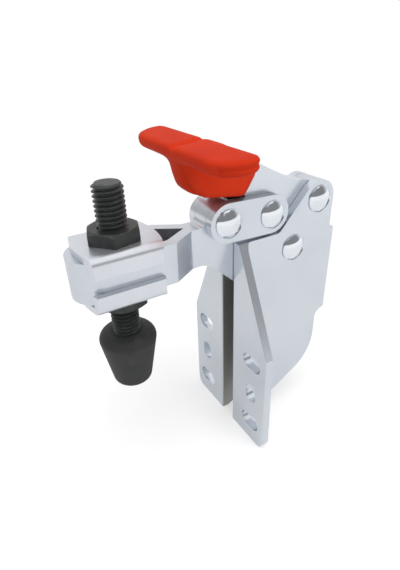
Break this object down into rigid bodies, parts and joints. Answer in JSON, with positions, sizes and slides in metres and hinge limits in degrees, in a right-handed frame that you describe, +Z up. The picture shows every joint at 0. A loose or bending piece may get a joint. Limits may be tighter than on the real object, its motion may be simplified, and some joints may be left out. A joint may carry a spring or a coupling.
{
  "type": "toggle clamp",
  "caption": "Flange-mounted hold-down toggle clamp: riveted linkage, slotted U-bar arm, adjustable spindle with a rubber cap and a short red T-shaped handle.",
  "frame": {"origin": "on the mounting face of the two flanges, at the centre of the four sideways slots", "axes": "+X forward out of the mounting face, along the arm towards the spindle; +Y sideways; +Z up, along the spindle"},
  "size_m": [0.0881, 0.0516, 0.1037],
  "materials": {
    "plate_steel": "bright polished plating",
    "washer_steel": "bright polished plating",
    "rivet_steel": "domed, mirror bright",
    "bush_steel": "ground",
    "black_steel": "black oxide, slightly oily",
    "black_rubber": "moulded, satin",
    "red_grip": "moulded, satin gloss"
  },
  "bodies": {
    "frame": {"base_plate_left": "plate_steel", "base_plate_right": "plate_steel", "arm_pivot_rivet": "rivet_steel", "handle_pivot_rivet": "rivet_steel"},
    "handle": {"handle_lever": "plate_steel", "handle_grip": "red_grip", "handle_pivot_bush": "bush_steel"},
    "arm": {"clamping_arm": "plate_steel", "arm_pivot_bush": "bush_steel", "front_link_bush": "bush_steel"},
    "link": {"link_left": "plate_steel", "link_right": "plate_steel", "front_link_rivet": "rivet_steel", "rear_link_rivet": "rivet_steel"},
    "carriage": {"upper_flanged_washer": "washer_steel", "lower_flanged_washer": "washer_steel", "upper_nut": "black_steel", "lower_nut": "black_steel"},
    "spindle": {"spindle": "black_steel", "rubber_cap": "black_rubber"}
  },
  "joints": [
    {"name": "handle_swing", "type": "hinge", "parent": "frame", "child": "handle", "pos_m": [-0.0305, 0, 0.0601], "axis": [0, -1, 0], "range_deg": [0, 95]},
    {"name": "arm_swing", "type": "hinge", "parent": "frame", "child": "arm", "pos_m": [-0.0212, 0, 0.0458], "axis": [0, -1, 0], "range_deg": [0, 50.81]},
    {"name": "link_swing", "type": "hinge", "parent": "arm", "child": "link", "pos_m": [0.00355, 0, 0.0595], "axis": [0, -1, 0], "range_deg": [-71.74, 0]},
    {"name": "spindle_travel", "type": "slide", "parent": "arm", "child": "carriage", "axis": [1, 0, 0], "range_m": [-0.006, 0.006]},
    {"name": "spindle_height", "type": "slide", "parent": "carriage", "child": "spindle", "axis": [0, 0, 1], "range_m": [-0.011, 0.0085]}
  ],
  "couplings": [
    {"joint": "arm_swing", "follows": "handle_swing", "ratio": 0.53484},
    {"joint": "link_swing", "follows": "handle_swing", "ratio": -0.75516}
  ]
}
